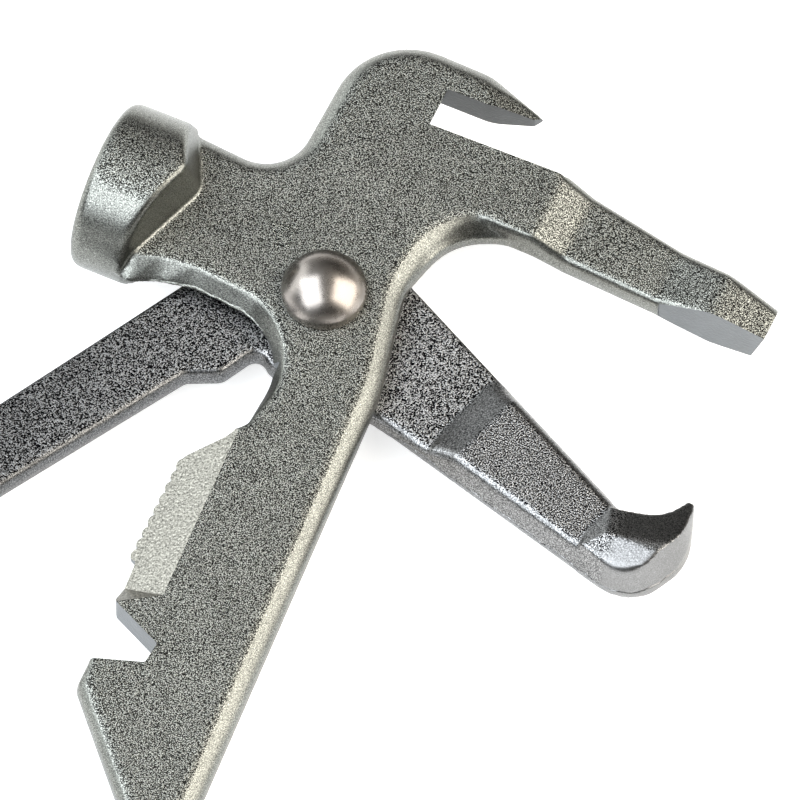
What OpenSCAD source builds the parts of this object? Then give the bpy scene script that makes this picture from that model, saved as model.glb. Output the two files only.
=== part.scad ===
// Hand-size rescue multi-tool: two forged levers lapped on one domed rivet.
// Millimetres. Pivot axis is Z through the origin, hammer towards -X,
// jaws towards +X, handles towards -Y. z = 0 is the flat tail of the rivet.

/* [Lever stack] */
// Thickness of the front lever's plate
front_t = 5.2; // [4:0.1:7]
// Thickness of the rear lever's lap and handle
rear_t = 3.9; // [3:0.1:6]
// Gap between moving faces in the stack
lap_gap = 0.1; // [0.05:0.01:0.3]

/* [Rivet] */
// Radius of the rivet shank
shank_r = 3.5; // [2.5:0.1:5]
// Running clearance of the shank in the rear lever
pivot_clearance = 0.05; // [0.01:0.01:0.1]
// Radius of the domed head
dome_r = 6.0; // [5:0.1:8]
// Height of the straight rim under the dome
dome_rim = 1.5; // [0.5:0.1:3]
// Rise of the dome above its rim
dome_rise = 4.0; // [2:0.1:5.5]
// Radius of the flat tail head
tail_r = 5.4; // [4.5:0.1:7]
// Height of the flat tail head
tail_h = 1.5; // [1:0.1:3]

/* [Hammer poll] */
// Radius of the poll
poll_r = 12.1; // [9:0.1:16]
// Distance of the striking face from the pivot
poll_reach = 36.4; // [33:0.1:42]
// Height of the poll's axis above the pivot
poll_y = 3.8; // [2:0.1:6]
// Chamfer round the striking face
poll_chamfer = 1.4; // [0.5:0.1:3]
// Distance of the poll's upper shoulder from the pivot
upper_shoulder = 16.6; // [14:0.1:19]
// Distance of the poll's lower shoulder from the pivot
lower_shoulder = 22.1; // [20:0.1:24]

/* [Hook and slot] */
// Width of the nail slot under the hook
slot_w = 5.9; // [4.5:0.1:8]
// Slant of the slot's closed end, degrees
slot_rake = 12; // [0:1:20]
// Reach of the hook's point from the pivot line
hook_reach = 15.2; // [12:0.1:18]

/* [Jaws] */
// Reach of the pry tip from the pivot
tip_reach = 57.7; // [46:0.1:72]
// Reach of the rear jaw's claw from the pivot
jaw_reach = 62.3; // [52:0.1:76]
// Thickness of the beak's thin arm
arm_t = 4.6; // [3.5:0.1:6]
// Height of the rear jaw's raised pad above its lap
pad_rise = 2.4; // [1:0.1:3.5]
// Inset of the raised pad from the jaw's edges
pad_inset = 1.0; // [0.3:0.1:1.5]
// Drop of the claw's crown below the front lever's face
claw_drop = 0.8; // [0:0.1:2]
// Thinning of the claw on each side at its end
claw_taper = 1.6; // [0.5:0.1:2.5]

/* [Blade and notch] */
// Number of serrations on the blade
tooth_count = 9; // [4:1:12]
// Pitch of the serrations
tooth_pitch = 1.9; // [1.4:0.1:2.4]
// Radius of each serration
tooth_r = 1.1; // [0.8:0.05:1.5]
// Thickness left at the blade's edge
edge_t = 0.4; // [0.2:0.05:1]
// Depth of the wedge notch from the handle's edge
notch_depth = 8.3; // [5:0.1:10]
// Width of the wedge notch's closed end
notch_floor = 3.4; // [2:0.1:4.5]

/* [Handles] */
// Distance of the front handle's tip below the pivot
front_len = 92; // [86:0.1:112]
// Thickness of the front handle's flat tip
driver_t = 1.6; // [1:0.1:3]
// Length of the rear handle's straight bar
rear_len = 73; // [60:0.5:90]
// Width of the rear handle's bar
rear_w = 8.7; // [7:0.1:11]
// Splay of the rear handle, degrees
rear_splay = 28.4; // [24:0.1:34]

/* [Hidden] */
$fn = 96;
rear_z = tail_h + lap_gap;
rear_top = rear_z + rear_t;
front_z = rear_top + lap_gap;
front_top = front_z + front_t;
mid_z = front_z + front_t / 2;
stack_mid = (rear_z + front_top) / 2;
arm_top = stack_mid + arm_t / 2;
arm_bottom = stack_mid - arm_t / 2;
pad_top = rear_top + pad_rise;
crown_top = front_top - claw_drop;
big = 60;

// Corner of an outline, given as [x, y, radius], turned into arc points.
function unit2(v) = v / norm(v);
function corner(a, b, c) =
  let(p = [b[0], b[1]],
      u = unit2([a[0], a[1]] - p),
      v = unit2([c[0], c[1]] - p),
      half = acos(max(-1, min(1, u * v))) / 2,
      t = b[2] / tan(half),
      m = p + unit2(u + v) * b[2] / sin(half),
      s = p + u * t - m,
      e = p + v * t - m,
      a0 = atan2(s[1], s[0]),
      da = atan2(s[0] * e[1] - s[1] * e[0], s * e),
      n = max(2, ceil(abs(da) / 9)))
  [for (i = [0:n]) m + b[2] * [cos(a0 + da * i / n), sin(a0 + da * i / n)]];
function outline(v) =
  let(k = len(v))
  [for (i = [0:k - 1])
    for (q = (v[i][2] > 0 ? corner(v[(i + k - 1) % k], v[i], v[(i + 1) % k])
                          : [[v[i][0], v[i][1]]])) q];

// Prism whose polygon lies in a plane along azimuth a and up Z.
module section(a, pts, reach) {
  rotate([90, 0, a])
    linear_extrude(height = 2 * reach, center = true) polygon(pts);
}

// ---- front lever ----
module front_plan() {
  polygon(outline([
    [5.4 - poll_reach, poll_y + poll_r, 0],
    [9.4 - poll_reach, poll_y + poll_r, 2],
    [-13, 14.7, 6.5],
    [-12.3, 41.5, 11],
    [6, 41.3, 7],
    [hook_reach, 38.2, 0.6],
    [hook_reach - 0.3, 33, 0],
    [22, 33, 0],
    [22, 37.15 - slot_w, 0],
    [tip_reach - 18.2, 27.9, 9],
    [tip_reach, 26.2, 1.6],
    [tip_reach, 21.1, 0.3],
    [tip_reach - 7.7, 20.7, 0],
    [tip_reach - 15.7, 19.8, 6],
    [28, 20.3, 12],
    [10.7, 19.8, 9.9],
    [9.3, 6, 10],
    [13.2, -9.5, 25],
    [19.1, 0.4 - front_len + 2, 0],
    [19.1, -front_len, 0.5],
    [13, -front_len, 0.5],
    [12.7, -88, 2],
    [-5.3, -70.2, 2.4],
    [-5.4, -66, 0],
    [-5.9 + notch_depth, -61.2 - notch_floor / 2, 0.5],
    [-5.6 + notch_depth, -61.2 + notch_floor / 2, 0.5],
    [-6, -55.9, 1.1],
    [-6.3, -47.6, 0],
    [-6.9, -47.3, 0],
    [-7.2, -29.2, 0],
    [-1.9, -24.7, 4],
    [-0.6, -7.2, 10.2],
    [-17, -5.6, 9],
    [11.4 - poll_reach, poll_y - poll_r + 0.4, 2.5],
    [5.4 - poll_reach, poll_y - poll_r + 0.4, 0]
  ]));
}
module front_height() {
  section(0, [
    [-big, front_z], [21.8, front_z],
    [27.6, arm_bottom], [tip_reach - 15.9, arm_bottom],
    [tip_reach - 7.9, rear_z], [tip_reach - 2.1, rear_z + 0.3],
    [tip_reach, front_top - 1.6],
    [tip_reach - 7.9, front_top], [tip_reach - 15.9, arm_top],
    [27.6, arm_top], [21.8, front_top], [-big, front_top]
  ], 120);
}
function shoulder(u, run) = [
  [-big, -20], [-u - run, -20], [-u, -front_t / 2],
  [-u, front_t / 2], [-u - run, 20], [-big, 20]
];
module poll() {
  intersection() {
    translate([-poll_reach, poll_y, mid_z]) rotate([0, 90, 0]) {
      cylinder(h = poll_chamfer, r1 = poll_r - poll_chamfer, r2 = poll_r);
      translate([0, 0, poll_chamfer]) cylinder(h = 18, r = poll_r);
    }
    // upper and lower shoulder facets behind the poll
    translate([0, 0, mid_z])
      section(27.1, shoulder(upper_shoulder, 6), 60);
    translate([0, 0, mid_z])
      section(-19.1, shoulder(lower_shoulder, 4.5), 60);
  }
}
module hook_taper(s) {
  // thins one side of the hook towards its point
  translate([7.1, 38.7, mid_z]) rotate([0, 0, -39.6 + 90])
    rotate([90, 0, 0])
      linear_extrude(height = 18, center = true)
        polygon([
          [0, s * front_t / 2], [6, s * (front_t / 2 - 2.4)],
          [6, s * 6], [0, s * 6]
        ]);
}
module blade_hollow() {
  // bevel plane and its run-out facet, ground from the front face
  intersection() {
    translate([-0.6, -39, front_top]) rotate([90, 0, 3.4])
      linear_extrude(height = 60, center = true)
        polygon([
          [0, 0], [-7.8, edge_t - front_t], [-14, edge_t - front_t],
          [-14, 4], [0, 4]
        ]);
    translate([-5.3, -55.85, front_top]) rotate([0, 0, 33.7])
      rotate([90, 0, 90])
        linear_extrude(height = 40, center = true)
          polygon([[0, 0], [4.9, -5.1], [40, -5.1], [40, 4], [0, 4]]);
  }
}
module serrations() {
  for (i = [0:tooth_count - 1])
    translate([-6.85 + 0.035 * i, -31 - tooth_pitch * i, front_z])
      cylinder(h = front_t, r = tooth_r, $fn = 40);
}
module driver_tip() {
  // thins the end of the front handle from both faces
  for (s = [-1, 1])
    translate([10, -front_len, mid_z]) rotate([90, 0, 90])
      linear_extrude(height = 30, center = true)
        polygon([
          [-1, s * driver_t / 2], [0, s * driver_t / 2],
          [9, s * front_t / 2], [9, s * 8], [-1, s * 8]
        ]);
}
module front_lever() {
  color("silver") difference() {
    union() {
      intersection() {
        linear_extrude(height = 40) front_plan();
        front_height();
      }
      serrations();
      poll();
    }
    slot_cut();
    hook_taper(1);
    hook_taper(-1);
    blade_hollow();
    driver_tip();
    translate([0, 0, front_z - 1]) cylinder(h = front_t + 2, r = shank_r);
  }
}
module slot_cut() {
  // nail slot under the hook, with a slanted closed end
  intersection() {
    translate([0, 0, mid_z - 6]) linear_extrude(height = 12)
      polygon([
        [-5, 36.2], [8, 36.45], [24, 38.5], [24, 37.25 - slot_w],
        [-5, 36.2 - slot_w]
      ]);
    translate([0, 0, mid_z])
      section(0, [
        [1.5 + tan(slot_rake) * (8 - front_t / 2), 8],
        [1.5 - tan(slot_rake) * (8 + front_t / 2), -8],
        [25, -8], [25, 8]
      ], 60);
  }
}

// ---- rear lever ----
function upper_y(x) = 16 - 26.9 * (x + 7.6) / (jaw_reach - 4.4);
function lower_y(x) = -11.7 - 10.7 * (x - 13) / (jaw_reach - 17);
module rear_plan() {
  along = [-sin(rear_splay), -cos(rear_splay)];
  across = [-cos(rear_splay), sin(rear_splay)];
  inner = [-11.9, -10.25] + rear_len * along;
  outer = inner + rear_w * across;
  polygon(outline([
    [-7.6, 16, 12.5],
    [jaw_reach - 12, upper_y(jaw_reach - 12), 6],
    [jaw_reach - 5.4, -9.3, 5],
    [jaw_reach - 3, -6.1, 0.5],
    [jaw_reach - 2.2, -6.2, 0.3],
    [jaw_reach, -13, 9],
    [jaw_reach - 4, lower_y(jaw_reach - 4), 6.5],
    [13, -11.7, 40],
    [-3, -11.2, 3],
    [-5.6, -9.2, 1.5],
    [-8.5, -14.9, 2.2],
    [-13.3, -17.2, 1.5],
    [inner[0], inner[1], 4],
    [outer[0], outer[1], 4]
  ]));
}
module pad_edges() {
  // strips that leave the raised pad inset from the jaw's edges
  a = jaw_reach - 14.8;
  b = jaw_reach - 17.3;
  translate([0, 0, rear_top]) linear_extrude(height = 12) {
    polygon([
      [26.3, 12], [26.3, upper_y(26.3) - pad_inset],
      [a, upper_y(a) - pad_inset], [a + 3.3, upper_y(a + 3.3) + 0.8],
      [a + 3.3, 12]
    ]);
    polygon([
      [23.3, -30], [23.3, lower_y(23.3) + pad_inset],
      [b, lower_y(b) + pad_inset], [b + 4.5, lower_y(b + 4.5) - 0.1],
      [b + 4.5, -30]
    ]);
  }
}
module rear_lever() {
  color("lightgray") difference() {
    intersection() {
      linear_extrude(height = 20) rear_plan();
      section(-16.5, [
        [-90, rear_z], [jaw_reach - 6.5, rear_z],
        [jaw_reach + 0.7, rear_z + claw_taper],
        [jaw_reach + 0.7, crown_top - claw_taper],
        [jaw_reach - 5.8, crown_top], [jaw_reach - 8.5, crown_top],
        [jaw_reach - 11.7, pad_top], [29.9, pad_top], [24.85, rear_top],
        [-90, rear_top]
      ], 100);
    }
    pad_edges();
    translate([0, 0, rear_z - 1])
      cylinder(h = rear_t + 2, r = shank_r + pivot_clearance);
  }
}

// ---- rivet ----
module pivot_rivet() {
  cap_r = (dome_r * dome_r + dome_rise * dome_rise) / (2 * dome_rise);
  color("gainsboro") {
    cylinder(h = 0.3, r1 = tail_r - 0.3, r2 = tail_r);
    translate([0, 0, 0.3]) cylinder(h = tail_h - 0.3, r = tail_r);
    translate([0, 0, tail_h - 0.5])
      cylinder(h = front_top - tail_h + 1, r = shank_r);
    translate([0, 0, front_top]) cylinder(h = dome_rim, r = dome_r);
    intersection() {
      translate([0, 0, front_top + dome_rim - 0.001])
        cylinder(h = dome_rise + 1, r = dome_r);
      translate([0, 0, front_top + dome_rim + dome_rise - cap_r])
        sphere(r = cap_r);
    }
  }
}

front_lever();
rear_lever();
pivot_rivet();
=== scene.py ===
"""Looks of a hand-size rescue tool: two forged levers, one over the other, on a domed rivet."""

import math

import bmesh
import bpy
from mathutils import Matrix, Vector


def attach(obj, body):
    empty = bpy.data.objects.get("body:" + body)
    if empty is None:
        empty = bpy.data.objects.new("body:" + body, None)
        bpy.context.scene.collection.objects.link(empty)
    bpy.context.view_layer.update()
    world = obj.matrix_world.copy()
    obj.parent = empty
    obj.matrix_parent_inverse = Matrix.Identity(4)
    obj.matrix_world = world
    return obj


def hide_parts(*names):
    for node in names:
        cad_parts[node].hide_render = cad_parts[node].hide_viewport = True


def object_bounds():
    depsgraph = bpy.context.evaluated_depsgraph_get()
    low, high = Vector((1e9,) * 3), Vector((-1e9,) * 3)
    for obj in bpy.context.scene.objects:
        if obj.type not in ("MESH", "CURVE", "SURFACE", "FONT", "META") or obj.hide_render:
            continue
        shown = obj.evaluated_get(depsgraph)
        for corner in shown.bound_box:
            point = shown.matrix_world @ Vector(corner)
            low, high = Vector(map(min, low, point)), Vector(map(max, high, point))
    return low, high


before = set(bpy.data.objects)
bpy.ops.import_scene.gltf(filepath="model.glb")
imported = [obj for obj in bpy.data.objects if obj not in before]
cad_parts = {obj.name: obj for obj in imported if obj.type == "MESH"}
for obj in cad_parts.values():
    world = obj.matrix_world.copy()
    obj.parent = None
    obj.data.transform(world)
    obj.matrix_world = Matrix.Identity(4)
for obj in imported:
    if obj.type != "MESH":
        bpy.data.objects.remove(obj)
cad_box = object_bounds()

# ---------------------------------------------------------------------------
# Front lever: a zinc-plated steel drop forging with the hammer poll, hook, pry
# beak, blade and notch. It leaves the die with round edges and a grainy skin,
# and then the slot, the notch, the blade and the beak's sole are cut bare.

# a piece is made in millimetres and brought to metres when it is finished
MILLIMETRE = 0.001

# lever stack, heights above the rivet's tail face
REAR_LOW, REAR_TOP = 1.6, 5.5
FRONT_LOW, FRONT_TOP = 5.6, 10.8
FRONT_MID = (FRONT_LOW + FRONT_TOP) / 2

# outline of the plate before it is cut, from the poll over the hook and down the handle;
# each corner is x, y and the radius that rounds it
plate_line = [
    (-31, 15.7, 0), (-27, 15.7, 2), (-13, 14.9, 6.5), (-12.5, 41.9, 11), (6.2, 41.9, 7),
    (18, 38.1, 0), (18, 34, 0), (22.3, 31.9, 0), (22.3, 20.3, 0),
    (10.9, 18.8, 9.9), (9.6, 6, 10), (13.4, -9.5, 25), (19.2, -89.6, 0),
    (19.2, -92, 0.8), (13, -92, 0.8), (12.7, -88, 2), (-5.0, -69.6, 2.4), (-5.1, -65.5, 0),
    (-7, -57, 0), (-9, -50, 0), (-9, -29.6, 0), (-1.3, -23.2, 3),
    (-0.6, -7.2, 10.2), (-17, -6.1, 9), (-22.6, -7.4, 6), (-26.4, -9.3, 1.2), (-31, -7.7, 0),
]
PLATE_DRAFT, PLATE_FOOT_DRAFT = 0.45, 0.15
NECK_LEAN = 0.125
THROAT_CENTRE, THROAT_LEAN = Vector((-11, -16.7)), 1.1
ARMPIT_CENTRE, ARMPIT_FOOT = Vector((20.5, 9.5)), 0.5
FACE_BAND = 2  # corners further than this from the seam belong to a face


def rounded(corners, step=7):
    """A closed line through (x, y, radius) corners, each turned into an arc of its radius."""
    line = []
    for before, here, after in zip(corners[-1:] + corners[:-1], corners, corners[1:] + corners[:1]):
        corner, radius = Vector(here[:2]), here[2]
        if radius == 0:
            line.append(corner)
            continue
        back = (Vector(before[:2]) - corner).normalized()
        on = (Vector(after[:2]) - corner).normalized()
        half = back.angle(on) / 2
        centre = corner + (back + on).normalized() * (radius / math.sin(half))
        start = corner + back * (radius / math.tan(half)) - centre
        turn = math.copysign(math.pi - 2 * half, back.cross(on) * -1)
        count = max(2, math.ceil(abs(math.degrees(turn)) / step))
        line += [centre + Matrix.Rotation(turn * i / count, 2) @ start for i in range(count + 1)]
    return line


def prism(line, low, high, place=None):
    """A bar whose section is a closed line, from low to high along its own Z, then put in place."""
    bar = bmesh.new()
    face = bar.faces.new([bar.verts.new((x, y, low)) for x, y in line])
    top = bmesh.ops.extrude_face_region(bar, geom=[face])["geom"]
    corners = [v for v in top if isinstance(v, bmesh.types.BMVert)]
    bmesh.ops.translate(bar, verts=corners, vec=(0, 0, high - low))
    if place is not None:
        bmesh.ops.transform(bar, matrix=place, verts=bar.verts)
    bmesh.ops.recalc_face_normals(bar, faces=bar.faces)
    return bar


def drafted(line, low, seam, high, lean, foot_lean):
    """A bar as the dies leave it: full size at their seam, leaning in towards its top and its foot."""
    land = 0.05  # half the height of the upright band at the seam
    bar = prism(line, seam - land, seam + land)
    for end in [f for f in bar.faces if len(f.verts) == len(line)]:
        top = end.normal.z > 0
        bmesh.ops.inset_region(bar, faces=[end], thickness=lean if top else foot_lean,
                               depth=high - seam - land if top else seam - land - low,
                               use_even_offset=True, use_boundary=True)
    return bar


plate = drafted(rounded(plate_line), FRONT_LOW, FRONT_MID, FRONT_TOP, PLATE_DRAFT, PLATE_FOOT_DRAFT)
# below the poll both faces draw back from the seam, more towards the poll
for corner in plate.verts:
    if abs(corner.co.z - FRONT_MID) > FACE_BAND and corner.co.y < -2 and corner.co.x < -2:
        corner.co.y -= NECK_LEAN * (corner.co.x + 2)
# the throat's wall slopes too, most where it turns and less towards the blade
for corner in plate.verts:
    if abs(corner.co.z - FRONT_MID) > FACE_BAND and -24 < corner.co.y < -2 and -15 < corner.co.x < 3:
        outward = (corner.co.xy - THROAT_CENTRE).normalized()
        corner.co.xy += outward * THROAT_LEAN * min(1, (corner.co.y + 24) / 7, (corner.co.x + 15) / 7)
# the foot of the wall under the arm comes forward, like a fillet
for corner in plate.verts:
    if corner.co.z < FRONT_MID + FACE_BAND and 8 < corner.co.y < 20.2 and 5 < corner.co.x < 21:
        inward = (ARMPIT_CENTRE - corner.co.xy).normalized()
        corner.co.xy += inward * ARMPIT_FOOT * min(1, (corner.co.y - 8) / 4, (21 - corner.co.x) / 5)


def round_edges(bar, radius, chosen, segments=5, profile=0.5):
    """Rounds the edges sharper than 30 degrees whose middle passes the test."""
    edges = [
        e for e in bar.edges
        if e.is_manifold and e.calc_face_angle() > math.radians(30)
        and chosen(*((e.verts[0].co + e.verts[1].co) / 2))
    ]
    bmesh.ops.bevel(bar, geom=edges, offset=radius, segments=segments, profile=profile,
                    affect="EDGES", clamp_overlap=False, material=-1)


def plate_rim(x, y, z):
    """True on the upper edges that leave the die with a full round."""
    hook_back = y > 13 and x < 17 and y > 36.5 - 0.9 * abs(x)
    right_side = 8 < x < 22 and -91.5 < y < 20.4
    upper_neck = y > 13 and x < -12
    return z > FRONT_MID + FACE_BAND and (hook_back or right_side or upper_neck)


def plate_foot(x, y, z):
    """True on the same edges of the rear face, which bed on the other lever."""
    return z < FRONT_MID and plate_rim(x, y, 2 * FRONT_MID - z)


def plate_lip(x, y, z):
    """True on the lower left edge of the handle, which has a smaller round."""
    return abs(z - FRONT_MID) > FACE_BAND and y < -65.9 and x < 12.9


def plate_neck(x, y, z):
    """True under the poll, where the wall slopes from the face down to the seam."""
    return abs(z - FRONT_MID) > FACE_BAND and y < -2 and x < -13


def plate_throat(x, y, z):
    """True on the hollow between the poll and the blade."""
    return abs(z - FRONT_MID) > FACE_BAND and -23.4 < y < -2 and -13 < x < 1


WORN_ROUND = 0.38  # profile of a round that is flatter than a quarter circle
round_edges(plate, 2.3, plate_rim, segments=8, profile=WORN_ROUND)
round_edges(plate, 0.5, plate_foot, segments=4)
round_edges(plate, 1.2, plate_lip, segments=5, profile=WORN_ROUND)
round_edges(plate, 0.4, plate_neck, segments=3)
round_edges(plate, 0.6, plate_throat, segments=3)

# the beak: a thin arm between two ramps, then a tip of the full stack height
arm_line = [
    (14, 30.4, 0), (22, 32.1, 8), (39.5, 29.3, 9), (59.3, 26.3, 2.4), (59.5, 19.3, 0),
    (44, 19.4, 4), (28, 19.9, 12), (17, 19.8, 6), (8, 19.8, 0), (8, 28, 0),
]
ARM_SEAM, ARM_DRAFT, ARM_BLANK_TOP = 6.2, 0.3, 12
ARM_MIDDLE = 23.6  # y between the arm's near and far edges
# the arm from the side, as x and height: along its top and back along its foot
arm_heights = [
    (13, 10.8), (22.3, 10.8), (27.3, 8.6), (41.8, 8.5), (49.9, 10.8), (52, 10.2), (59.6, 7.6),
    (59.6, 1.8), (49.8, 1.6), (41.8, 3.9), (27.3, 3.8), (22.3, 5.6), (13, 5.6),
]


def upright(azimuth, at=(0, 0, 0)):
    """Stands a section on edge: its x runs level along azimuth, its y runs up."""
    turn = Matrix.Rotation(math.radians(azimuth), 4, "Z") @ Matrix.Rotation(math.pi / 2, 4, "X")
    return Matrix.Translation(at) @ turn


def solid(name, bar, material=None):
    """Turns a bmesh into an object of the scene."""
    mesh = bpy.data.meshes.new(name)
    bar.to_mesh(mesh)
    bar.free()
    piece = bpy.data.objects.new(name, mesh)
    bpy.context.scene.collection.objects.link(piece)
    if material is not None:
        mesh.materials.append(material)
    return piece


def settle(piece):
    """Makes a piece's modifiers part of its mesh."""
    graph = bpy.context.evaluated_depsgraph_get()
    mesh = bpy.data.meshes.new_from_object(piece.evaluated_get(graph))
    piece.modifiers.clear()
    piece.data = mesh


def combine(piece, tool, operation="DIFFERENCE"):
    """Cuts a tool out of a piece, or adds it, or keeps what they share; the tool is thrown away."""
    change = piece.modifiers.new("change", "BOOLEAN")
    change.object = tool
    change.operation = operation
    change.solver = "MANIFOLD"
    settle(piece)
    bpy.data.objects.remove(tool)


def sharpened(bar):
    """The mesh of a cut bar, with the cutter's leftovers merged, ready for its edges."""
    clean = bmesh.new()
    clean.from_mesh(bar.data)
    bmesh.ops.remove_doubles(clean, verts=clean.verts, dist=0.001)
    bmesh.ops.dissolve_limit(clean, angle_limit=0.02, verts=clean.verts, edges=clean.edges)
    return clean


def reshape(piece, bar):
    """Gives a piece a new mesh."""
    bar.to_mesh(piece.data)
    bar.free()


arm_bar = drafted(rounded(arm_line), 0, ARM_SEAM, ARM_BLANK_TOP, ARM_DRAFT, ARM_DRAFT)
arm = solid("arm", arm_bar)
combine(arm, solid("heights", prism(arm_heights, -60, 0, upright(0))), "INTERSECT")
arm_bar = sharpened(arm)
round_edges(arm_bar, 1.6, lambda x, y, z: z > ARM_SEAM + 1 and x > 21.8 and y > ARM_MIDDLE, 6, 0.45)
round_edges(arm_bar, 1.3, lambda x, y, z: z < 5 and x > 15 and y > ARM_MIDDLE)
round_edges(arm_bar, 1.1, lambda x, y, z: abs(z - ARM_SEAM) > 1.5 and x > 13.2 and y < ARM_MIDDLE)
reshape(arm, arm_bar)

# the poll: a round bar with a rolled face edge, cut behind by two sloping shoulders
POLL_RADIUS, POLL_LENGTH, POLL_REACH, POLL_CROWN, POLL_Y = 12.2, 20, 36.4, 0.3, 3.8
POLL_TURN = math.radians(1.7)
poll_place = Matrix.Translation((POLL_LENGTH / 2 + POLL_CROWN - POLL_REACH, POLL_Y, FRONT_MID))
poll_bar = bmesh.new()
bmesh.ops.create_cone(poll_bar, cap_ends=True, segments=96, radius1=POLL_RADIUS,
                      radius2=POLL_RADIUS, depth=POLL_LENGTH,
                      matrix=poll_place @ Matrix.Rotation(POLL_TURN, 4, "Z")
                      @ Matrix.Rotation(math.pi / 2, 4, "Y"))
round_edges(poll_bar, 1.5, lambda x, y, z: x < 1 - POLL_REACH + POLL_CROWN)
# its face rises a little towards the middle, in two steps
caps = [f for f in poll_bar.faces if len(f.verts) > 4]
striking_face = min(caps, key=lambda f: f.calc_center_median().x)
for step, rise in ((4.0, 0.7), (3.5, 0.3)):
    bmesh.ops.inset_region(poll_bar, faces=[striking_face], thickness=step, depth=POLL_CROWN * rise)
poll = solid("poll", poll_bar)
UPPER_AZIMUTH, LOWER_AZIMUTH = 27.1, -19.1
upper_shoulder = [
    (-60, -20), (-20.4, -20), (-16.9, -2.6), (-16.9, 2.6), (-20.4, 20), (-60, 20),
]
lower_shoulder = rounded([
    (-60, -20, 0), (-24.6, -20, 0), (-23.4, 0, 4), (-24.6, 20, 0), (-60, 20, 0),
])
for azimuth, shoulder in ((UPPER_AZIMUTH, upper_shoulder), (LOWER_AZIMUTH, lower_shoulder)):
    wedge = prism(shoulder, -60, 60, upright(azimuth, (0, 0, FRONT_MID)))
    combine(poll, solid("wedge", wedge), "INTERSECT")
# below the lower shoulder the die slopes down to the seam
HALF_PLATE = (FRONT_TOP - FRONT_LOW) / 2
behind = [(-23.3, -40), (60, -40), (60, 40), (-23.3, 40)]
for side in (-1, 1):
    above = [(0, side * HALF_PLATE), (3.7, 0), (12, 0), (12, side * 30), (0, side * 30)]
    slope = solid("slope", prism(above, -9, 9, upright(9.5 - 90, (-25.8, -5.06, FRONT_MID))))
    keep = prism(behind, -60, 60, upright(LOWER_AZIMUTH, (0, 0, FRONT_MID)))
    combine(slope, solid("behind", keep), "INTERSECT")
    combine(poll, slope)
poll_bar = sharpened(poll)
round_edges(poll_bar, 0.8, lambda x, y, z: x > -30 and z > FRONT_TOP + 0.5, segments=3)
reshape(poll, poll_bar)

plate = solid("front_forging", plate)
# the die thins the hook from both faces towards its point
for side in (-1, 1):
    taper = [(0, side * HALF_PLATE), (6, side * 0.2), (12, side * 0.2), (12, side * 6), (0, side * 6)]
    place = upright(90 - 39.6, (7.1, 38.7, FRONT_MID))
    combine(plate, solid("taper", prism(taper, -9, 9, place)))


def forge(name, parts, grain, passes):
    """Melts overlapping parts into one skin; smoothing passes soften its inner and outer corners."""
    blank = parts[0]
    blank.name = name
    for part in parts[1:]:
        combine(blank, part, "UNION")
    melt = blank.modifiers.new("melt", "REMESH")
    melt.mode = "VOXEL"
    melt.voxel_size = grain
    soften = blank.modifiers.new("soften", "SMOOTH")
    soften.factor = 0.5
    soften.iterations = passes
    settle(blank)
    return blank


front = forge("front_forging", [plate, arm, poll], grain=0.34, passes=6)

# tools that cut the cold forging: first the nail slot in the hook
slot_line = rounded([
    (-5, 36.2, 0), (8, 36.55, 6), (14.5, 37.9, 0.5), (15.6, 39.1, 0), (16, 45, 0),
    (26, 45, 0), (25, 33.2, 0), (22.4, 31.15, 0), (-5, 30.0, 0),
])
slot = solid("slot", prism(slot_line, 2, 14))
slot_end = [(3, 8), (-0.4, -8), (30, -8), (30, 8)]
combine(slot, solid("end", prism(slot_end, -60, 60, upright(0, (0, 0, FRONT_MID)))), "INTERSECT")

# the blade's edge with its scallops, and the wedge notch below it
TEETH, TOOTH_PITCH, TOOTH_RADIUS, TOOTH_STEPS = 9, 1.9, 1.1, 8
TOOTH_X, TOOTH_Y, TOOTH_DRIFT = -6.85, -31, 0.035
scallop = math.asin(TOOTH_PITCH / 2 / TOOTH_RADIUS)
edge_line = rounded([(-12, -12, 0), (-1.1, -12, 0), (-1.9, -25.0, 4), (-7.2, -29.6, 0)])
for tooth in range(TEETH):
    centre = Vector((TOOTH_X + TOOTH_DRIFT * tooth, TOOTH_Y - TOOTH_PITCH * tooth))
    for i in range(TOOTH_STEPS + 1):
        angle = scallop * (1 - 2 * i / TOOTH_STEPS)
        edge_line.append(centre + TOOTH_RADIUS * Vector((-math.cos(angle), math.sin(angle))))
edge_line += rounded([
    (-6.5, -47.4, 0), (-6.3, -47.8, 0), (-5.6, -55.7, 1.1), (2.7, -59.3, 0.5), (2.4, -62.6, 0.5),
    (-5.5, -65.5, 0), (-12, -65.7, 0),
])
edge = solid("edge", prism(edge_line, 2, 14))

# the blade's ground bevel, which runs out on a slope above the notch
bevel_section = [(0, 0), (-7.8, -4.8), (-16, -4.8), (-16, 4), (0, 4)]
bevel = solid("bevel", prism(bevel_section, -30, 30, upright(3.4, (-0.6, -39, FRONT_TOP))))
run_out_section = [(0, 0), (4.9, -5.1), (60, -5.1), (60, 5), (0, 5)]
run_out = prism(run_out_section, -40, 40, upright(90 + 33.7, (-5.3, -55.85, FRONT_TOP)))
combine(bevel, solid("run_out", run_out), "INTERSECT")

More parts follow.
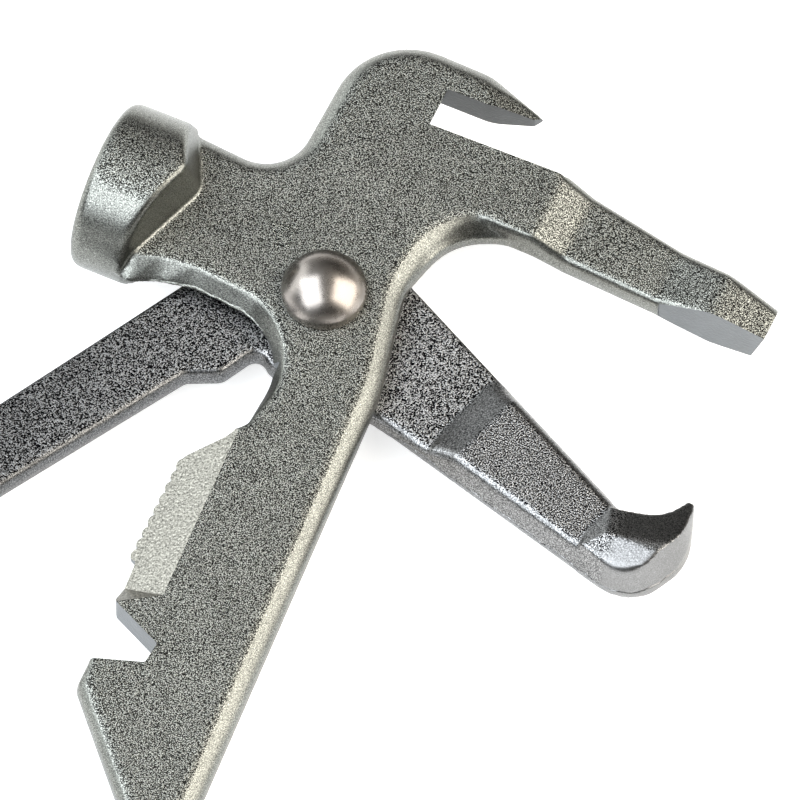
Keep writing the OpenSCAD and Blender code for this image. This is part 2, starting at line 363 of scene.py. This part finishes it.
# the beak's flat sole and slanting end, the rivet's bore and the thinned driver tip
sole = solid("sole", prism([(41.6, 18), (42.4, 19.75), (59.6, 21.15), (61, 15), (41, 15)], -1, 14))
beak_end_section = [(58.3, 9.2), (56.0, 1.5), (55.5, -2), (64, -2), (64, 14), (59.2, 14)]
beak_end = solid("beak_end", prism(beak_end_section, -60, 0, upright(0)))
SHANK_RADIUS, BORE_DEPTH = 3.5, 12
bore_bar = bmesh.new()
bmesh.ops.create_cone(bore_bar, cap_ends=True, segments=64, radius1=SHANK_RADIUS, radius2=SHANK_RADIUS,
                      depth=BORE_DEPTH, matrix=Matrix.Translation((0, 0, FRONT_MID)))
bore = solid("bore", bore_bar)
driver = []
for side in (-1, 1):
    thinning = [(-94, side * 0.8), (-92, side * 0.8), (-83, side * HALF_PLATE), (-83, side * 8),
                (-94, side * 8)]
    driver.append(solid("driver", prism(thinning, -30, 30, upright(90, (0, 0, FRONT_MID)))))


class Wire:
    """A shader socket that can stand in sums; each sign adds a Math node."""

    def __init__(self, graph, socket):
        self.graph, self.socket = graph, socket

    def sum(self, operation, first, second):
        return self.graph.add("Math", {"operation": operation}, {0: first, 1: second})

    def __add__(self, other):
        return self.sum("ADD", self, other)

    def __sub__(self, other):
        return self.sum("SUBTRACT", self, other)

    def __rsub__(self, other):
        return self.sum("SUBTRACT", other, self)

    def __mul__(self, other):
        return self.sum("MULTIPLY", self, other)

    __radd__, __rmul__ = __add__, __mul__


class Graph:
    """The node tree of a finish."""

    def __init__(self, tree):
        self.tree = tree
        tree.nodes.clear()

    def add(self, kind, settings=None, inputs=None, output=0):
        """Adds a node, sets it, fills its sockets with values or wires, and gives one output."""
        node = self.tree.nodes.new("ShaderNode" + kind)
        for name, value in (settings or {}).items():
            setattr(node, name, value)
        for name, value in (inputs or {}).items():
            socket = node.inputs[name]
            if isinstance(value, Wire):
                self.tree.links.new(value.socket, socket)
            elif socket.type == "RGBA":
                socket.default_value = (*value, 1)
            else:
                socket.default_value = value
        return None if output is None else Wire(self, node.outputs[output])

    def add_output(self, shader):
        self.add("OutputMaterial", {}, {"Surface": shader}, output=None)


def finish(name):
    material = bpy.data.materials.new(name)
    material.use_nodes = True
    return material, Graph(material.node_tree)


def forged_steel(name, light, dark, contrast, grain, flat, painted_shade_span, seam, polish):
    """Shot-blasted, zinc-plated forging: glittering grainy faces, smoother walls, a rough die seam.

    Grain is its scale and its depth in metres, and flat the range of a face's upward lean over
    which its grain comes up, and a painted shade by how a face leans: level faces are painted
    darker, walls lighter. The x range given after flat lifts a painted shade: below it the colour
    is painted down to a little over half. The seam is its height in metres and the x range over
    which it shows up; polish is the x range over which the grain is worn down.
    """
    material, g = finish(name)
    place = g.add("TexCoord", output="Object")
    fine = g.add("TexNoise", {}, {"Vector": place, "Scale": grain[0], "Detail": 1.0, "Roughness": 0.5})
    broad = g.add("TexNoise", {}, {"Vector": place, "Scale": 90.0, "Detail": 3.0, "Roughness": 0.6})
    normal = g.add("NewGeometry", output="Normal")
    level = g.add("Math", {"operation": "ABSOLUTE"},
                  {0: g.add("SeparateXYZ", {}, {"Vector": normal}, output="Z")})
    # how far a face leans up; it brings up the grain and paints level faces darker, a painted shade
    face = g.add("MapRange", {"interpolation_type": "SMOOTHSTEP"},
                 {"Value": level, "From Min": flat[0], "From Max": flat[1],
                  "To Min": 0.2, "To Max": 1.0})
    along = g.add("SeparateXYZ", {}, {"Vector": place}, output="X")
    worn = g.add("MapRange", {"interpolation_type": "SMOOTHSTEP"},
                 {"Value": along, "From Min": polish[0], "From Max": polish[1],
                  "To Min": 1.0, "To Max": 0.25})
    face = face * worn
    height = g.add("SeparateXYZ", {}, {"Vector": place}, output="Z")
    wander = g.add("TexNoise", {}, {"Vector": place, "Scale": 420.0, "Detail": 2.0})
    stray = 0.0012  # height of the band that the seam wanders in, in metres
    off_seam = g.add("Math", {"operation": "ABSOLUTE"}, {0: height - seam[0] + (wander - 0.5) * stray})
    seam_line = g.add("MapRange", {"interpolation_type": "SMOOTHSTEP"},
                      {"Value": off_seam, "From Min": 0.00005, "From Max": 0.0004,
                       "To Min": 1.0, "To Max": 0.0})
    fade = 0.003  # length over which the seam starts and stops, in metres
    seam_start = g.add("MapRange", {},
                       {"Value": along, "From Min": seam[1], "From Max": seam[1] + fade})
    seam_stop = g.add("MapRange", {},
                      {"Value": along, "From Min": seam[2], "From Max": seam[2] - fade})
    seam_here = seam_start * seam_stop
    wall = g.add("MapRange", {}, {"Value": level, "From Min": 0.45, "From Max": 0.75,
                                  "To Min": 1.0, "To Max": 0.0})
    seam_mask = seam_line * seam_here * wall
    tear = g.add("TexNoise", {}, {"Vector": place, "Scale": 1500.0, "Detail": 2.0})
    relief = fine * face + tear * seam_mask * 3.0
    bump = g.add("Bump", {}, {"Height": relief, "Strength": 1.0, "Distance": grain[1]})
    # the tone runs from dark to light: lighter and even on walls, darker and grainy on level faces; the
    # grain is the forging's own, but the darker level faces and lighter walls are painted shade and
    # painted light by how a face leans
    grain_and_painted_shade = g.add("Math", {"operation": "POWER", "use_clamp": True},
                 {0: g.add("Math", {"operation": "MULTIPLY_ADD", "use_clamp": True},
                           {0: (fine - 0.5) * face, 1: contrast, 2: 0.73 - face * 0.29}), 1: 2.2})
    colour = g.add("Mix", {"data_type": "RGBA"}, {0: grain_and_painted_shade, 6: dark, 7: light}, output=2)
    shade = g.add("MapRange", {}, {"Value": broad, "From Min": 0.3, "From Max": 0.7,
                                   "To Min": 0.90, "To Max": 1.06})
    # a painted shade: towards lower x the colour is painted down to 0.55 of it over the given x range;
    # it darkens the rear lever's handle and lies beyond the front lever
    shade = shade * g.add("MapRange", {}, {"Value": along, "From Min": painted_shade_span[0], "From Max": painted_shade_span[1],
                                           "To Min": 0.55, "To Max": 1.0})
    colour = g.add("VectorMath", {"operation": "SCALE"}, {0: colour, "Scale": shade})
    rough = g.add("MapRange", {}, {"Value": broad, "From Min": 0.3, "From Max": 0.7,
                                   "To Min": 0.27, "To Max": 0.31})
    shader = g.add("BsdfPrincipled", {}, {"Base Color": colour, "Metallic": 1.0,
                                          "Roughness": rough, "Normal": bump})
    g.add_output(shader)
    return material


def cut_steel(name, colour, roughness, wrinkle, mottle):
    """Bare cut steel; wrinkle is the depth of the tool's marks in metres.

    Mottle is the scale of the lighter and darker spots, and how far they part from the colour.
    """
    material, g = finish(name)
    place = g.add("TexCoord", output="Object")
    fine = g.add("TexNoise", {}, {"Vector": place, "Scale": 2300.0, "Detail": 2.0, "Roughness": 0.5})
    broad = g.add("TexNoise", {}, {"Vector": place, "Scale": mottle[0], "Detail": 3.0, "Roughness": 0.6})
    bump = g.add("Bump", {}, {"Height": fine, "Strength": 1.0, "Distance": wrinkle})
    shade = g.add("MapRange", {}, {"Value": broad, "From Min": 0.3, "From Max": 0.7,
                                   "To Min": 1 - mottle[1], "To Max": 1 + mottle[1]})
    tint = g.add("VectorMath", {"operation": "SCALE"}, {0: colour, "Scale": shade})
    shader = g.add("BsdfPrincipled", {}, {"Base Color": tint, "Metallic": 1.0,
                                          "Roughness": roughness, "Normal": bump})
    g.add_output(shader)
    return material


front_steel = forged_steel(
    "front_forged", light=(0.445, 0.455, 0.418), dark=(0.015, 0.015, 0.014), contrast=6.0,
    grain=(6000.0, 0.00014), flat=(0.86, 0.97), painted_shade_span=(-0.2, -0.1),
    seam=(FRONT_MID * MILLIMETRE, -0.025, -0.004), polish=(0.09, 0.10),
)
# bare cut steel whose colour is painted dark, a painted shade for the shade that falls in the nail slot;
# every tool cut but the bevel gets it alike
front_cut_painted_shade = cut_steel("front_cut_painted_shade", (0.148, 0.158, 0.166), roughness=0.3, wrinkle=0.00005,
                      mottle=(300.0, 0.08))
front_ground = cut_steel("front_ground", (0.345, 0.335, 0.298), roughness=0.4, wrinkle=0.00013,
                         mottle=(3600.0, 0.75))

# each tool leaves its own finish on the faces that it cuts; what is made by cutting carries
# an empty finish, which is cleared first
front.data.materials.clear()
for steel in (front_steel, front_cut_painted_shade, front_ground):
    front.data.materials.append(steel)
for tool in (slot, edge, sole, beak_end, bore, *driver, bevel):
    tool.data.materials.clear()
    tool.data.materials.append(front_ground if tool is bevel else front_cut_painted_shade)
    combine(front, tool)


def finished(piece, body, slot, *nodes):
    """Brings a piece to metres, shades it, and ties it to the CAD frame."""
    crease = math.radians(27)  # faces that meet at a wider angle keep a crisp edge
    piece.data.transform(Matrix.Scale(MILLIMETRE, 4))
    for face in piece.data.polygons:
        face.use_smooth = True
    piece.data.set_sharp_from_angle(angle=crease)
    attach(piece, body)
    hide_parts(*nodes)


finished(front, "front", "front_steel", "front_lever")

# ---------------------------------------------------------------------------
# Rear lever: the same steel, flatter. Its lap and handle are one plate with
# upright trimmed walls; the jaw carries a raised pad and ends in a thick claw.

rear_line = [
    (-8.0, 16.9, 12.5), (50.4, -10.1, 6), (52.5, -10.0, 0), (52.5, -21.4, 0), (13, -11.9, 40),
    (-3, -11.4, 3), (-5.6, -9.4, 1.5), (-8.5, -15.1, 2.2), (-13.1, -17.4, 1.5),
    (-46.3, -74.8, 4), (-55.2, -69.9, 4),
]
REAR_SEAM = (REAR_LOW + REAR_TOP) / 2
lap = drafted(rounded(rear_line), REAR_LOW, REAR_SEAM, REAR_TOP, 0.3, 0.1)
round_edges(lap, 0.6, lambda x, y, z: abs(z - REAR_SEAM) > 1.9 and x < 9 and y < -2, 4, 0.4)
round_edges(lap, 1.1, lambda x, y, z: abs(z - REAR_SEAM) > 1.9 and 9 < x < 51.5 and y < -2, 4)

# the jaw's raised pad leans in from the seam and rises on a ramp, out along the jaw
PAD_TOP, CROWN_TOP = 7.9, 10.0
JAW_AZIMUTH = -16.5
pad_line = [(22, 3.0), (36, -3.5), (53, -11.4), (53, -21.5), (22, -14.1)]
pad_heights = [
    (20, 3.55), (20, 4.6), (24.4, 5.3), (29.9, PAD_TOP), (60, PAD_TOP), (60, 3.55),
]
pad = solid("pad", drafted(pad_line, REAR_LOW, REAR_SEAM, 12, 1.9, 0.1))
combine(pad, solid("heights", prism(pad_heights, -60, 60, upright(JAW_AZIMUTH))), "INTERSECT")
pad_bar = sharpened(pad)


def off_middle(x, y):
    """Distance of a point from the jaw's middle line, positive on the far side."""
    return y + 8 + 0.34 * (x - 28)


round_edges(pad_bar, 1.6, lambda x, y, z: z > 5.2 and x < 52.4 and off_middle(x, y) > 2, 6)
round_edges(pad_bar, 1.1, lambda x, y, z: z > 5.2 and x < 52.4 and off_middle(x, y) < -2)
reshape(pad, pad_bar)

# the claw: a hooked outline under a ridge, one slope to the bay and a steeper one to its back
claw_line = rounded([
    (48.5, -12.0, 0), (51.4, -11.6, 3), (57.0, -10.2, 5.5), (59.0, -5.8, 0.5), (60.0, -6.0, 0.5),
    (62.4, -13, 9), (57.6, -22.6, 6.5), (48.5, -20.3, 0),
])
CREST = (52.9, -16.3)
far_slope = [(-14, 4.9), (0, CROWN_TOP), (12, CROWN_TOP), (12, REAR_LOW), (-3, REAR_LOW), (-14, 4.5)]
near_slope = [
    (-15, CROWN_TOP), (0, CROWN_TOP), (3, 8.8), (12, 4.5), (12, 3.6), (3, REAR_LOW), (-15, REAR_LOW),
]
claw = solid("claw", prism(claw_line, 0, 12))
# its back leans in from the seam like the pad's walls
claw_back = rounded([
    (40, 12, 0), (40, -18.3, 0), (57.6, -22.6, 6.5), (62.4, -13, 9), (60.6, -4, 0), (60.6, 12, 0),
])
combine(claw, solid("back", drafted(claw_back, -1, REAR_SEAM, 12, 1.9, 0.2)), "INTERSECT")
for azimuth, slope in ((15.5, far_slope), (1.5, near_slope)):
    combine(claw, solid("slope", prism(slope, -30, 30, upright(azimuth - 90, (*CREST, 0)))), "INTERSECT")
claw_start = [(46, 3), (50.9, PAD_TOP), (54.2, CROWN_TOP), (70, CROWN_TOP), (70, 0), (46, 0)]
combine(claw, solid("start", prism(claw_start, -60, 60, upright(JAW_AZIMUTH))), "INTERSECT")
claw_bar = sharpened(claw)
round_edges(claw_bar, 0.8, lambda x, y, z: x > 52 and z > 5.5 and off_middle(x, y) < -0.5, 4)
reshape(claw, claw_bar)

rear = forge("rear_forging", [solid("rear_forging", lap), pad, claw], grain=0.29, passes=3)
# this lever turns on the rivet, so its bore is the wider one
REAR_BORE = 3.55
rear_bore = bmesh.new()
bmesh.ops.create_cone(rear_bore, cap_ends=True, segments=64, radius1=REAR_BORE, radius2=REAR_BORE,
                      depth=BORE_DEPTH, matrix=Matrix.Translation((0, 0, 3.5)))
combine(rear, solid("bore", rear_bore))
rear.data.materials.clear()
# a painted shade darkens its handle: where x is below -30 mm the colour is painted down to 0.55, rising
# to full at x = 5 mm
rear.data.materials.append(forged_steel(
    "rear_forged", light=(0.485, 0.485, 0.485), dark=(0.003, 0.003, 0.004), contrast=8.0,
    grain=(5200.0, 0.00014), flat=(0.90, 0.985), painted_shade_span=(-0.03, 0.005),
    seam=(REAR_SEAM * MILLIMETRE, 0.014, 0.066), polish=(0.0515, 0.0535),
))
finished(rear, "rear", "rear_steel", "rear_lever")

# ---------------------------------------------------------------------------
# Rivet: a steel pin that holds the two levers together. Its head is a satin
# polished dome on the front lever, and its tail is upset flat behind the rear.

DOME_RADIUS, DOME_RIM, DOME_RISE = 6.0, 1.4, 4.0
cap_radius = (DOME_RADIUS ** 2 + DOME_RISE ** 2) / (2 * DOME_RISE)
cap_centre = FRONT_TOP + DOME_RIM + DOME_RISE - cap_radius
cap_span = math.asin(DOME_RADIUS / cap_radius)
CAP_STEPS = 16
# half of its section, as radius and height: the tail, the shank and the head's rim, then the dome
rivet_half = [
    (0, 0), (5.0, 0), (5.4, 0.4), (5.4, 1.3), (5.2, 1.5), (SHANK_RADIUS, 1.5),
    (SHANK_RADIUS, FRONT_TOP), (5.8, FRONT_TOP), (DOME_RADIUS, FRONT_TOP + 0.2),
    (DOME_RADIUS, FRONT_TOP + DOME_RIM),
]
for i in range(1, CAP_STEPS + 1):
    lean = cap_span * (1 - i / CAP_STEPS)
    rivet_half.append((cap_radius * math.sin(lean), cap_centre + cap_radius * math.cos(lean)))
rivet_bar = bmesh.new()
loop = [rivet_bar.verts.new((r, 0, z)) for r, z in rivet_half]
wire = [rivet_bar.edges.new(pair) for pair in zip(loop, loop[1:])]
bmesh.ops.spin(rivet_bar, geom=loop + wire, axis=(0, 0, 1), cent=(0, 0, 0), steps=72,
               angle=2 * math.pi, use_merge=True)
bmesh.ops.remove_doubles(rivet_bar, verts=rivet_bar.verts, dist=0.001)
bmesh.ops.recalc_face_normals(rivet_bar, faces=rivet_bar.faces)


def satin_steel(name):
    """Satin-polished steel with faint hammered mottling."""
    material, g = finish(name)
    place = g.add("TexCoord", output="Object")
    mottle = g.add("TexNoise", {}, {"Vector": place, "Scale": 700.0, "Detail": 3.0, "Roughness": 0.6})
    bump = g.add("Bump", {}, {"Height": mottle, "Strength": 1.0, "Distance": 0.00002})
    rough = g.add("MapRange", {}, {"Value": mottle, "To Min": 0.2, "To Max": 0.36})
    shader = g.add("BsdfPrincipled", {}, {"Base Color": (0.34, 0.31, 0.285), "Metallic": 1.0,
                                          "Roughness": rough, "Normal": bump})
    g.add_output(shader)
    return material


rivet = solid("rivet", rivet_bar, satin_steel("rivet_satin"))
finished(rivet, "front", "rivet_steel", "pivot_rivet")

# ---------------------------------------------------------------------------
# Stage: a pale floor, two soft boxes, a dim room for the metal to mirror, and a
# long lens. None of it belongs to the tool.

LOOK_AZIMUTH, LOOK_ELEVATION = math.radians(25.474), math.radians(63)
right = Vector((math.cos(LOOK_AZIMUTH), math.sin(LOOK_AZIMUTH), 0))
away = Vector((-math.sin(LOOK_AZIMUTH), math.cos(LOOK_AZIMUTH), 0))
up = Vector((0, 0, 1))
back = up * math.sin(LOOK_ELEVATION) - away * math.cos(LOOK_ELEVATION)
camera_data = bpy.data.cameras.new("camera")
camera_data.lens = 1200
camera_data.clip_start, camera_data.clip_end = 0.1, 20
VIEW_WIDTH = 0.1116
distance = VIEW_WIDTH * camera_data.lens / camera_data.sensor_width
camera = bpy.data.objects.new("camera", camera_data)
bpy.context.scene.collection.objects.link(camera)
camera_up = back.cross(right)
AIM_RIGHT, AIM_DOWN = 0.01059, 0.0150  # how far the lens aims beside and below the rivet
target = up * FRONT_TOP * MILLIMETRE + right * AIM_RIGHT - camera_up * AIM_DOWN
look = Matrix((right, camera_up, back)).transposed().to_4x4()
camera.matrix_world = Matrix.Translation(target + back * distance) @ look
bpy.context.scene.camera = camera

floor_bar = bmesh.new()
bmesh.ops.create_grid(floor_bar, x_segments=1, y_segments=1, size=3)
bmesh.ops.translate(floor_bar, verts=floor_bar.verts, vec=(0, 0, cad_box[0].z - 0.0002))
floor_white, g = finish("floor_white")
path = g.add("LightPath", output="Is Camera Ray")
mirror = g.add("LightPath", output="Is Glossy Ray")
paper = g.add("BsdfDiffuse", {}, {"Color": (0.85, 0.85, 0.85)})
lift = g.add("Emission", {}, {"Color": (1, 1, 1), "Strength": path * 0.62 + mirror * 0.30})
g.add_output(g.add("AddShader", {}, {0: paper, 1: lift}))
floor = solid("floor", floor_bar, floor_white)

# two soft boxes on the camera's side, the cool one at the left, the warm one at the right
for name, towards, width, length, colour, power in (
    ("left_box", right * -0.54 - away * 0.19 + up * 0.78, 0.46, 0.72, (0.90, 0.95, 1.0), 4.6),
    ("right_box", right * 0.80 - away * 0.13 + up * 0.58, 0.57, 0.57, (1.0, 0.95, 0.87), 4.2),
):
    lamp = bpy.data.lights.new(name, "AREA")
    lamp.shape = "RECTANGLE"
    lamp.size, lamp.size_y = width, length
    lamp.energy = power
    lamp.color = colour
    holder = bpy.data.objects.new(name, lamp)
    bpy.context.scene.collection.objects.link(holder)
    facing = towards.normalized()
    across = away.cross(facing).normalized()
    aim = Matrix((across, facing.cross(across), facing)).transposed().to_4x4()
    holder.matrix_world = Matrix.Translation(facing * 0.5) @ aim
    holder.visible_camera = False

# the room is cool at the left and warm at the right: grey overhead, a pale band along the
# horizon, and beyond the tool on the left a faint glow with a bright one lower down
world = bpy.data.worlds.new("room")
world.use_nodes = True
bpy.context.scene.world = world
g = Graph(world.node_tree)
way = g.add("TexCoord", output="Generated")
height = g.add("SeparateXYZ", {}, {"Vector": way}, output="Z")


def glow(towards, start, full, strength):
    """Light that grows where the way comes near a direction."""
    near = g.add("VectorMath", {"operation": "DOT_PRODUCT"},
                 {0: way, 1: tuple(towards.normalized())}, output="Value")
    return g.add("MapRange", {"interpolation_type": "SMOOTHSTEP"},
                 {"Value": near, "From Min": start, "From Max": full, "To Min": 0.0, "To Max": strength})


overhead = g.add("MapRange", {"interpolation_type": "SMOOTHSTEP"},
                 {"Value": height, "From Min": 0.45, "From Max": 0.92, "To Min": 0.06, "To Max": 0.34})
horizon = g.add("MapRange", {"interpolation_type": "SMOOTHSTEP"},
                {"Value": height, "From Min": 0.10, "From Max": 0.32, "To Min": 0.30, "To Max": 0.0})
faint = glow(away * 0.8 - right * 0.5 + up * 0.3, start=0.80, full=1.0, strength=0.25)
bright = glow(away * 0.50 - right * 0.85 + up * 0.15, start=0.81, full=0.93, strength=1.9)
room = overhead + horizon + faint + bright
seen = g.add("LightPath", output="Is Camera Ray")
side = g.add("VectorMath", {"operation": "DOT_PRODUCT"}, {0: way, 1: tuple(right)}, output="Value")
warmth = g.add("MapRange", {}, {"Value": side, "From Min": -0.5, "From Max": 0.5}) * (1 - seen)
tint = g.add("Mix", {"data_type": "RGBA"},
             {0: warmth, 6: (0.95, 0.99, 1.0), 7: (1.0, 0.94, 0.84)}, output=2)
white = g.add("Mix", {"data_type": "RGBA"}, {0: seen, 6: tint, 7: (1.0, 1.0, 1.0)}, output=2)
shell = g.add("Background", {}, {"Color": white, "Strength": seen + (1 - seen) * room})
g.add("OutputWorld", {}, {"Surface": shell}, output=None)

bpy.context.scene.view_settings.view_transform = "Standard"
